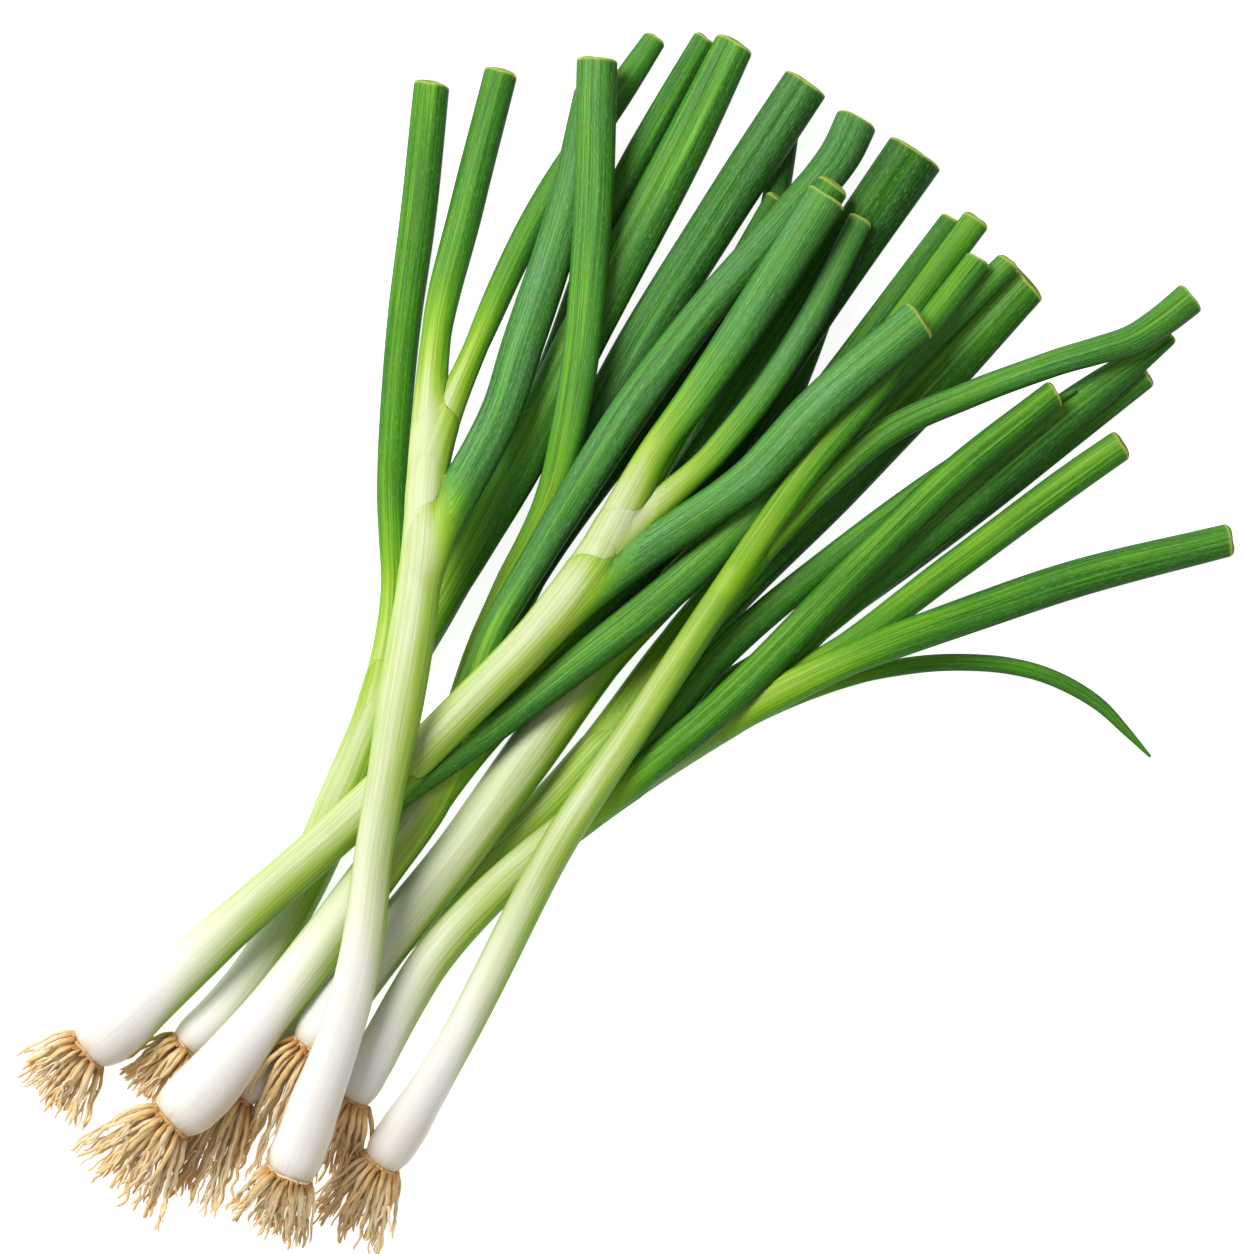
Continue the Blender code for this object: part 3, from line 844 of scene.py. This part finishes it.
def branch(line, radius, heading, side, chance):
    """A thin side root."""
    at = int(len(line) * chance.uniform(0.3, 0.65))
    length = chance.uniform(4.0, 9.0)
    turn = chance.choice([-1, 1]) * chance.uniform(0.35, 0.7)
    way = heading * math.cos(turn) + side * math.sin(turn)
    twig = root_line(line[at], way, heading * 0.6 + way * 0.4, length, line[at][2], chance)
    t = np.linspace(0, 1, len(twig))
    thin = radius[at] * 0.7 * (1 - 0.6 * t)
    lift(twig, thin)
    return twig, thin, t * 0.6 + 0.4


def collar(seat, chance):
    """The knobbly ring where the bulb's skins end at the plate."""
    angle = np.linspace(0, math.tau * 1.02, 110)
    knobs = ripple(chance, angle, np.zeros(1), 0.16, waves=(7, 11, 16, 23, 31))
    rise = ripple(chance, angle, np.zeros(1), 0.30, waves=(3, 5, 8, 13))
    across = np.cos(angle) * (seat.half_width * 0.90 + knobs)
    above = np.sin(angle) * (seat.half_height * 0.90 + knobs)
    line = (seat.foot + seat.back * (0.35 + rise)[:, None] + seat.side * across[:, None]
            + seat.up * above[:, None])
    radius = 0.42 * (1 + 2.4 * ripple(chance, angle, np.zeros(1), 0.10, waves=(13, 19, 29, 37)))
    radius = np.clip(radius, 0.22, 0.75)
    lift(line, radius)
    return line, radius, np.full(len(angle), 0.05)


def plate(seat, chance):
    """The knobbly brown disc under the bulb."""
    angle = round_angles(40)
    depth = np.array(PLATE_DEPTHS)[:, None]
    scale = np.array(PLATE_SIZES)[:, None]
    knobs = 1 + ripple(chance, angle, depth * 4, 0.035, waves=(5, 8, 11, 14), length=20)
    across = np.cos(angle) * seat.half_width * scale * knobs
    above = np.sin(angle) * seat.half_height * scale * knobs
    rings = (seat.foot + seat.back * depth[..., None] + seat.side * across[..., None]
             + seat.up * above[..., None])
    lift(rings)
    return rings


def stubs(seat, chance):
    """The ragged ring of old root ends round the plate."""
    made = []
    for number in range(STUB_COUNT):
        turn = math.tau * (number + chance.uniform(-0.35, 0.35)) / STUB_COUNT
        out = seat.spoke(turn)
        outward = out / np.linalg.norm(out)
        start = seat.foot + out * 0.87 + seat.back * chance.uniform(0.0, 0.6)
        length = chance.uniform(0.6, 1.7)
        t = np.linspace(0, 1, 6)
        sideways = chance.uniform(-0.5, 0.5) * np.cross(seat.back, outward)
        way = outward * chance.uniform(0.4, 0.9) + seat.back * chance.uniform(0.3, 1.2) + sideways
        way /= np.linalg.norm(way)
        line = start + way * (t * length)[:, None] + seat.back * (t**2 * 0.5)[:, None]
        radius = chance.uniform(0.28, 0.55) * (1 - 0.5 * t**2)
        lift(line, radius)
        made.append((line, radius, t * 0.15))
    return made


def joined_rings(parts):
    """The points, faces and values of several ringed threads together."""
    points, faces, values = [], [], []
    first = 0
    for rings, tint in parts:
        count, around = rings.shape[:2]
        points.append(rings.reshape(-1, 3))
        values.append(tint.reshape(-1, 3))
        faces += bridges(count, around, first)
        faces.append(tuple(first + k for k in reversed(range(around))))
        faces.append(tuple(first + (count - 1) * around + k for k in range(around)))
        first += count * around
    return np.concatenate(points), faces, np.concatenate(values)


def build_roots(letter, stem, chance):
    """A tuft, whose tone is the share along a root, the share of plate brown and chance."""
    seat = Seat(stem)
    threads = grow_roots(letter, seat, chance)
    disc = plate(seat, chance)
    threads += [collar(seat, chance)] + stubs(seat, chance)
    tint = np.zeros(disc.shape)
    tint[..., 1] = 1.0
    parts = [(disc, tint)]
    for line, radius, t in threads:
        rings = thread(line, radius)
        tint = np.zeros(rings.shape)
        tint[..., 0] = t[:, None]
        tint[..., 1] = smooth(1 - t * len(t) * ROOT_STEP / BROWN_FOOT)[:, None] * 0.9
        tint[..., 2] = chance.random()
        parts.append((rings, tint))
    points, faces, values = joined_rings(parts)
    piece = new_piece(f"{letter}_roots", points, faces, ROOT)
    store(piece, "tone", values)
    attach(piece, "root")
    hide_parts(f"onion_{letter}_roots")


# ---------------------------------------- materials

class Shader:
    """Small helpers for building a material's nodes."""

    def __init__(self, name):
        self.material = bpy.data.materials.new(name)
        self.material.use_nodes = True
        self.tree = self.material.node_tree
        self.surface = self.tree.nodes["Principled BSDF"]

    def node(self, kind, **inputs):
        made = self.tree.nodes.new(kind)
        self.fill(made, **inputs)
        return made

    def fill(self, node, **inputs):
        """Feed a node's inputs, with _ for the spaces in their names."""
        for name, value in inputs.items():
            self.feed(node.inputs[name.replace("_", " ")], value)

    def feed(self, socket, value):
        if isinstance(value, bpy.types.NodeSocket):
            self.tree.links.new(value, socket)
        else:
            socket.default_value = value

    def attribute(self, name):
        made = self.tree.nodes.new("ShaderNodeAttribute")
        made.attribute_name = name
        return made.outputs["Vector"]

    def parts(self, vector):
        made = self.node("ShaderNodeSeparateXYZ", Vector=vector)
        return made.outputs["X"], made.outputs["Y"], made.outputs["Z"]

    def scaled(self, vector, scale, shift=(0.0, 0.0, 0.0)):
        made = self.tree.nodes.new("ShaderNodeVectorMath")
        made.operation = "MULTIPLY_ADD"
        for socket, value in zip(made.inputs, (vector, scale, shift)):
            self.feed(socket, value)
        return made.outputs[0]

    def noise(self, vector, detail):
        made = self.node("ShaderNodeTexNoise", Vector=vector, Scale=1.0, Detail=detail,
                         Roughness=0.55)
        return made.outputs["Fac"]

    def math(self, operation, a, b=0.5, c=0.5):
        made = self.tree.nodes.new("ShaderNodeMath")
        made.operation = operation
        for socket, value in zip(made.inputs, (a, b, c)):
            self.feed(socket, value)
        return made.outputs[0]

    def times(self, a, b):
        return self.math("MULTIPLY", a, b)

    def spread(self, value, low, high, to_low=0.0, to_high=1.0):
        """The value's place between two levels, as the same place between two others."""
        made = self.node("ShaderNodeMapRange", Value=value, From_Min=low, From_Max=high,
                         To_Min=to_low, To_Max=to_high)
        return made.outputs["Result"]

    def mix(self, factor, a, b):
        made = self.tree.nodes.new("ShaderNodeMix")
        made.data_type = "RGBA"
        colours = [socket for socket in made.inputs if socket.type == "RGBA"]
        self.feed(made.inputs[0], factor)
        self.feed(colours[0], a)
        self.feed(colours[1], b)
        return [socket for socket in made.outputs if socket.type == "RGBA"][0]

    def ramp(self, factor, stops):
        made = self.node("ShaderNodeValToRGB", Fac=factor)
        elements = made.color_ramp.elements
        while len(elements) < len(stops):
            elements.new(0.5)
        for element, (place, colour) in zip(elements, stops):
            element.position = place
            element.color = linear(colour)
        return made.outputs["Color"]

    def bump(self, height, strength, distance):
        made = self.node("ShaderNodeBump", Height=height, Strength=strength, Distance=distance)
        return made.outputs["Normal"]


def skin_material(name, gloss):
    """Onion skin, white at the bulb and green at the leaf, with veins, a bluish waxen coat and
    the light and shade painted into its tone.
    """
    make = Shader(name)
    green, bloom_and_highlight, rim = make.parts(make.attribute("tone"))
    place = make.attribute("grain")
    veined = make.spread(make.parts(make.attribute("calm"))[0], 0.0, 1.0, 1.0, 0.12)
    grain = {label: make.noise(make.scaled(place, scale, shift), detail)
             for label, (scale, shift, detail) in PATTERNS.items()}
    colour = skin_colour(make, green, grain, veined)
    colour = waxed_with_painted_highlight(make, colour, green, bloom_and_highlight, grain)
    colour = streaked(make, colour, green, grain, veined)
    colour = flecked(make, colour, green, grain)
    colour = ribbed(make, colour, green, grain, veined)
    colour = make.mix(make.times(rim, 0.70), colour, linear(RIM))
    make.fill(make.surface, Base_Color=colour, Specular_IOR_Level=gloss)
    skin_surface(make, green, grain, veined)
    return make.material


def waxed_with_painted_highlight(make, colour, green, bloom_and_highlight, grain):
    """The bluish waxen coat on a leaf, in patches, which its tone paints brightest on the lit
    side as a painted highlight.
    """
    wax_and_highlight_mask = make.times(bloom_and_highlight, make.spread(grain["cloud"], 0.3, 0.7, 0.35, 1.0))
    wax_and_highlight_mask = make.times(wax_and_highlight_mask, make.spread(grain["flecks"], 0.35, 0.65, 0.4, 1.0))
    wax_and_highlight_mask = make.times(wax_and_highlight_mask, make.spread(green, 0.5, 0.85))
    return make.mix(make.times(wax_and_highlight_mask, 0.82), colour, linear(WAX_AND_HIGHLIGHT))


def streaked(make, colour, green, grain, veined):
    """Lighter and darker along the veins, most of all on a leaf."""
    streak = make.times(make.spread(grain["threads"], 0.3, 0.7, 0.56, 1.42),
                        make.spread(grain["veins"], 0.3, 0.7, 0.74, 1.22))
    strength = make.times(make.spread(green, 0.38, 0.85, 0.10, 1.0), veined)
    streak = make.math("MULTIPLY_ADD", make.math("SUBTRACT", streak, 1.0), strength, 1.0)
    return make.node("ShaderNodeHueSaturation", Color=colour, Value=streak).outputs["Color"]


def flecked(make, colour, green, grain):
    """Small pale flecks on a leaf."""
    specks = make.times(make.spread(grain["flecks"], 0.55, 0.75), make.spread(green, 0.5, 0.9))
    return make.mix(make.times(specks, 0.34), colour, linear(FLECK))


def ribbed(make, colour, green, grain, veined):
    """Thin green lines along the pale shank."""
    pale = make.times(make.spread(green, 0.08, 0.3), make.spread(green, 0.75, 0.6))
    lines = make.times(make.spread(grain["ribs"], 0.60, 0.70), pale)
    lines = make.times(lines, veined)
    return make.mix(make.times(lines, 0.34), colour, linear(RIB))


def skin_surface(make, green, grain, veined):
    """Gloss, depth and fine relief, which is weaker on the white."""
    relief = make.math("MULTIPLY_ADD", grain["threads"], 0.6, grain["veins"])
    relief = make.times(relief, make.spread(green, 0.0, 0.5, 0.25, 1.0))
    relief = make.times(relief, veined)
    make.fill(make.surface, Roughness=make.spread(grain["flecks"], 0.3, 0.7, 0.36, 0.54),
              Subsurface_Weight=make.spread(green, 0.1, 0.6, 0.5, 0.08),
              Subsurface_Radius=(1.0, 0.9, 0.6), Subsurface_Scale=0.0030,
              Normal=make.bump(relief, 0.4, 0.0004))


def skin_colour(make, green, grain, veined):
    """The colour by greenness, uneven from vein to vein and from patch to patch."""
    uneven = make.math("ADD", make.spread(grain["veins"], 0.3, 0.7, 0.04, -0.035),
                       make.spread(grain["cloud"], 0.3, 0.7, -0.06, 0.06))
    share = make.spread(green, 0.02, 0.35)
    share = make.math("MAXIMUM", share, make.spread(green, 0.0, -0.1))
    share = make.times(share, veined)
    level = make.math("MULTIPLY_ADD", uneven, share, green)
    stops = [((place - DRIEST) / (GREENEST - DRIEST), colour) for place, colour in SKIN_COLOURS]
    return make.ramp(make.spread(level, DRIEST, GREENEST), stops)


def root_material():
    """Tan root fibre, darker near the plate."""
    make = Shader("onion_root")
    along, plate_share, chance = make.parts(make.attribute("tone"))
    place = make.node("ShaderNodeTexCoord").outputs["Object"]
    patch = make.noise(make.scaled(place, (450.0,) * 3), 4.0)
    fine = make.noise(make.scaled(place, (1700.0,) * 3), 3.0)
    colour = make.ramp(along, ROOT_COLOURS)
    colour = make.mix(make.spread(patch, 0.45, 0.75, 0.0, 0.35), colour, linear(ROOT_PATCH))
    colour = make.mix(make.spread(chance, 0.5, 1.0, 0.0, 0.5), colour, linear(PALE_ROOT))
    colour = make.mix(make.spread(chance, 0.25, 0.0, 0.0, 0.4), colour, linear(DARK_ROOT))
    colour = make.mix(make.times(plate_share, 0.70), colour, linear(PLATE_BROWN))
    make.fill(make.surface, Base_Color=colour, Roughness=0.75, Specular_IOR_Level=0.3,
              Normal=make.bump(fine, 0.5, 0.0003))
    return make.material


# ---------------------------------------- the stage

def stage():
    """A pale floor that glows a little, a white sky and one soft lamp."""
    shader = Shader("floor")
    shader.fill(shader.surface, Base_Color=(0.55, 0.55, 0.55, 1.0), Roughness=0.9,
                Specular_IOR_Level=0.1, Emission_Color=(1.0,) * 4,
                Emission_Strength=FLOOR_GLOW)
    mesh = bpy.data.meshes.new("floor")
    mesh.from_pydata([(-4, -4, 0), (4, -4, 0), (4, 4, 0), (-4, 4, 0)], [], [(0, 1, 2, 3)])
    mesh.materials.append(shader.material)
    floor = bpy.data.objects.new("floor", mesh)
    bpy.context.scene.collection.objects.link(floor)
    world = bpy.data.worlds.new("studio")
    world.use_nodes = True
    background = world.node_tree.nodes["Background"]
    background.inputs["Color"].default_value = (1.0,) * 4
    background.inputs["Strength"].default_value = SKY_LIGHT
    bpy.context.scene.world = world
    add_light("key", **KEY_LIGHT)


def add_light(name, place, size, power):
    """A round lamp that shines at the origin."""
    lamp = bpy.data.lights.new(name, "AREA")
    lamp.shape = "DISK"
    lamp.size = size
    lamp.energy = power
    made = bpy.data.objects.new(name, lamp)
    made.location = place
    made.rotation_euler = Vector(place).to_track_quat("Z", "Y").to_euler()
    bpy.context.scene.collection.objects.link(made)


def camera():
    data = bpy.data.cameras.new("camera")
    data.lens = LENS
    data.sensor_width = SENSOR
    data.clip_end = 20.0
    made = bpy.data.objects.new("camera", data)
    axes = (Vector(VIEW_RIGHT), Vector(VIEW_UP), Vector((0, 0, 1)))
    turn = Matrix(axes).transposed().to_4x4()
    height = VIEW_WIDTH * LENS / SENSOR + VIEW_LEVEL
    made.matrix_world = Matrix.Translation(Vector((*VIEW_CENTRE, height)) * MM) @ turn
    bpy.context.scene.collection.objects.link(made)
    bpy.context.scene.camera = made


STEM_SKIN = skin_material("stem_skin", 0.30)
LEAF_SKIN = skin_material("leaf_skin", 0.14)
ROOT = root_material()


def core_of(name, leaves, stem):
    """The path that a leaf's sheath is wrapped round, or None where it is inside others."""
    if name in LAST_FORKS:
        within = LAST_FORKS[name]
        return drawn_back(within, leaves[within], stem)[0]
    return stem if joint_with(stem, leaves[name])[1] else None


def build_onion(letter):
    corners = [np.array(corner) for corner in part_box(f"onion_{letter}_roots")]
    roots_place = np.mean(corners, axis=0) / MM
    stem = trace(f"onion_{letter}_stem", roots_place)
    chance = random.Random(SEED * 100 + ord(letter))
    build_stem(letter, stem, chance)
    build_roots(letter, stem, chance)
    leaves = {name: trace("onion_" + name, roots_place)
              for name in LEAF_TONE if name[0] == letter}
    for name, leaf in leaves.items():
        build_leaf(letter, name, leaf, stem, core_of(name, leaves, stem), chance)


for onion in STEM_GREEN:
    build_onion(onion)
stage()
camera()
bpy.context.scene.view_settings.view_transform = "Standard"
